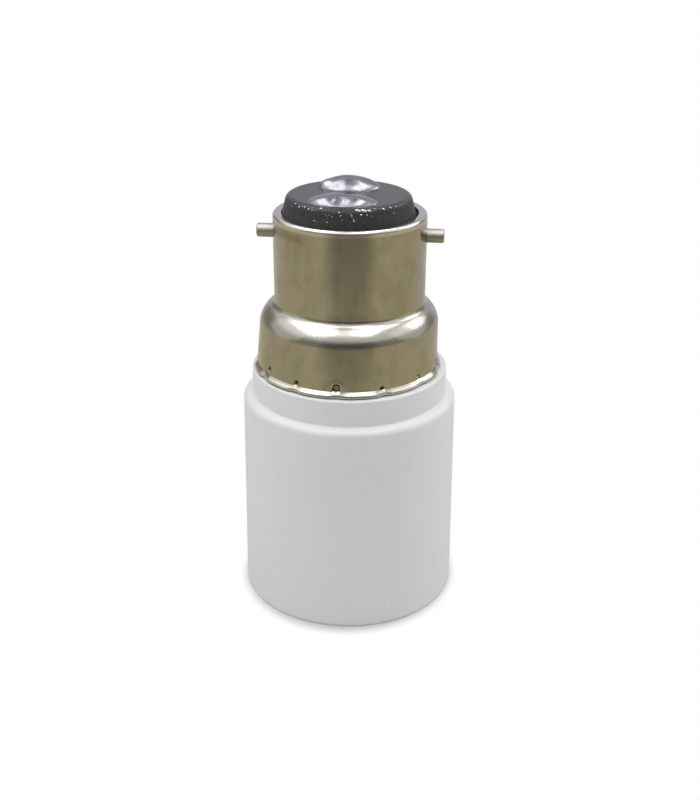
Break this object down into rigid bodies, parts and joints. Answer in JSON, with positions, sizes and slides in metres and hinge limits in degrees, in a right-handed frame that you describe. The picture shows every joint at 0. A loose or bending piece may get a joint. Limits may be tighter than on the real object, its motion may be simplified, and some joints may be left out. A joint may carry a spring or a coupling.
{
  "type": "lamp socket adapter",
  "caption": "Bayonet-cap lamp adapter: a white moulded body with a screw lamp socket in its open mouth and a crimped metal bayonet cap with soldered contacts on top.",
  "frame": {"origin": "centre of the mouth of the socket, on the plane the adapter stands on", "axes": "+Z along the axis, from the mouth to the contacts; X through the bayonet pins; -Y towards the viewer in the picture"},
  "size_m": [0.0328, 0.0328, 0.0634],
  "materials": {
    "white_body": "semi-gloss moulded white",
    "cap_metal": "worn nickel plate",
    "pin_metal": "nickel plate",
    "black_insulator": "satin moulded black",
    "solder": "bright solder",
    "brass_parts": "bright",
    "shell_metal": "rolled sheet",
    "copper_wire": "drawn wire",
    "sleeving": "woven sleeve"
  },
  "bodies": {
    "root": {"socket_body": "white_body", "bayonet_cap_shell": "cap_metal", "bayonet_pin_left": "pin_metal", "bayonet_pin_right": "pin_metal", "cap_insulator": "black_insulator", "contact_plate_front": "brass_parts", "contact_plate_rear": "brass_parts", "solder_dome_front": "solder", "solder_dome_rear": "solder", "screw_shell": "shell_metal", "centre_contact": "brass_parts", "centre_contact_rivet": "brass_parts", "screw_shell_rivet": "brass_parts", "centre_solder_tag": "brass_parts", "shell_solder_tag": "brass_parts", "live_lead": "copper_wire", "neutral_lead": "copper_wire", "live_lead_sleeve": "sleeving", "neutral_lead_sleeve": "sleeving", "live_tag_solder": "solder", "neutral_tag_solder": "solder"}
  },
  "joints": []
}
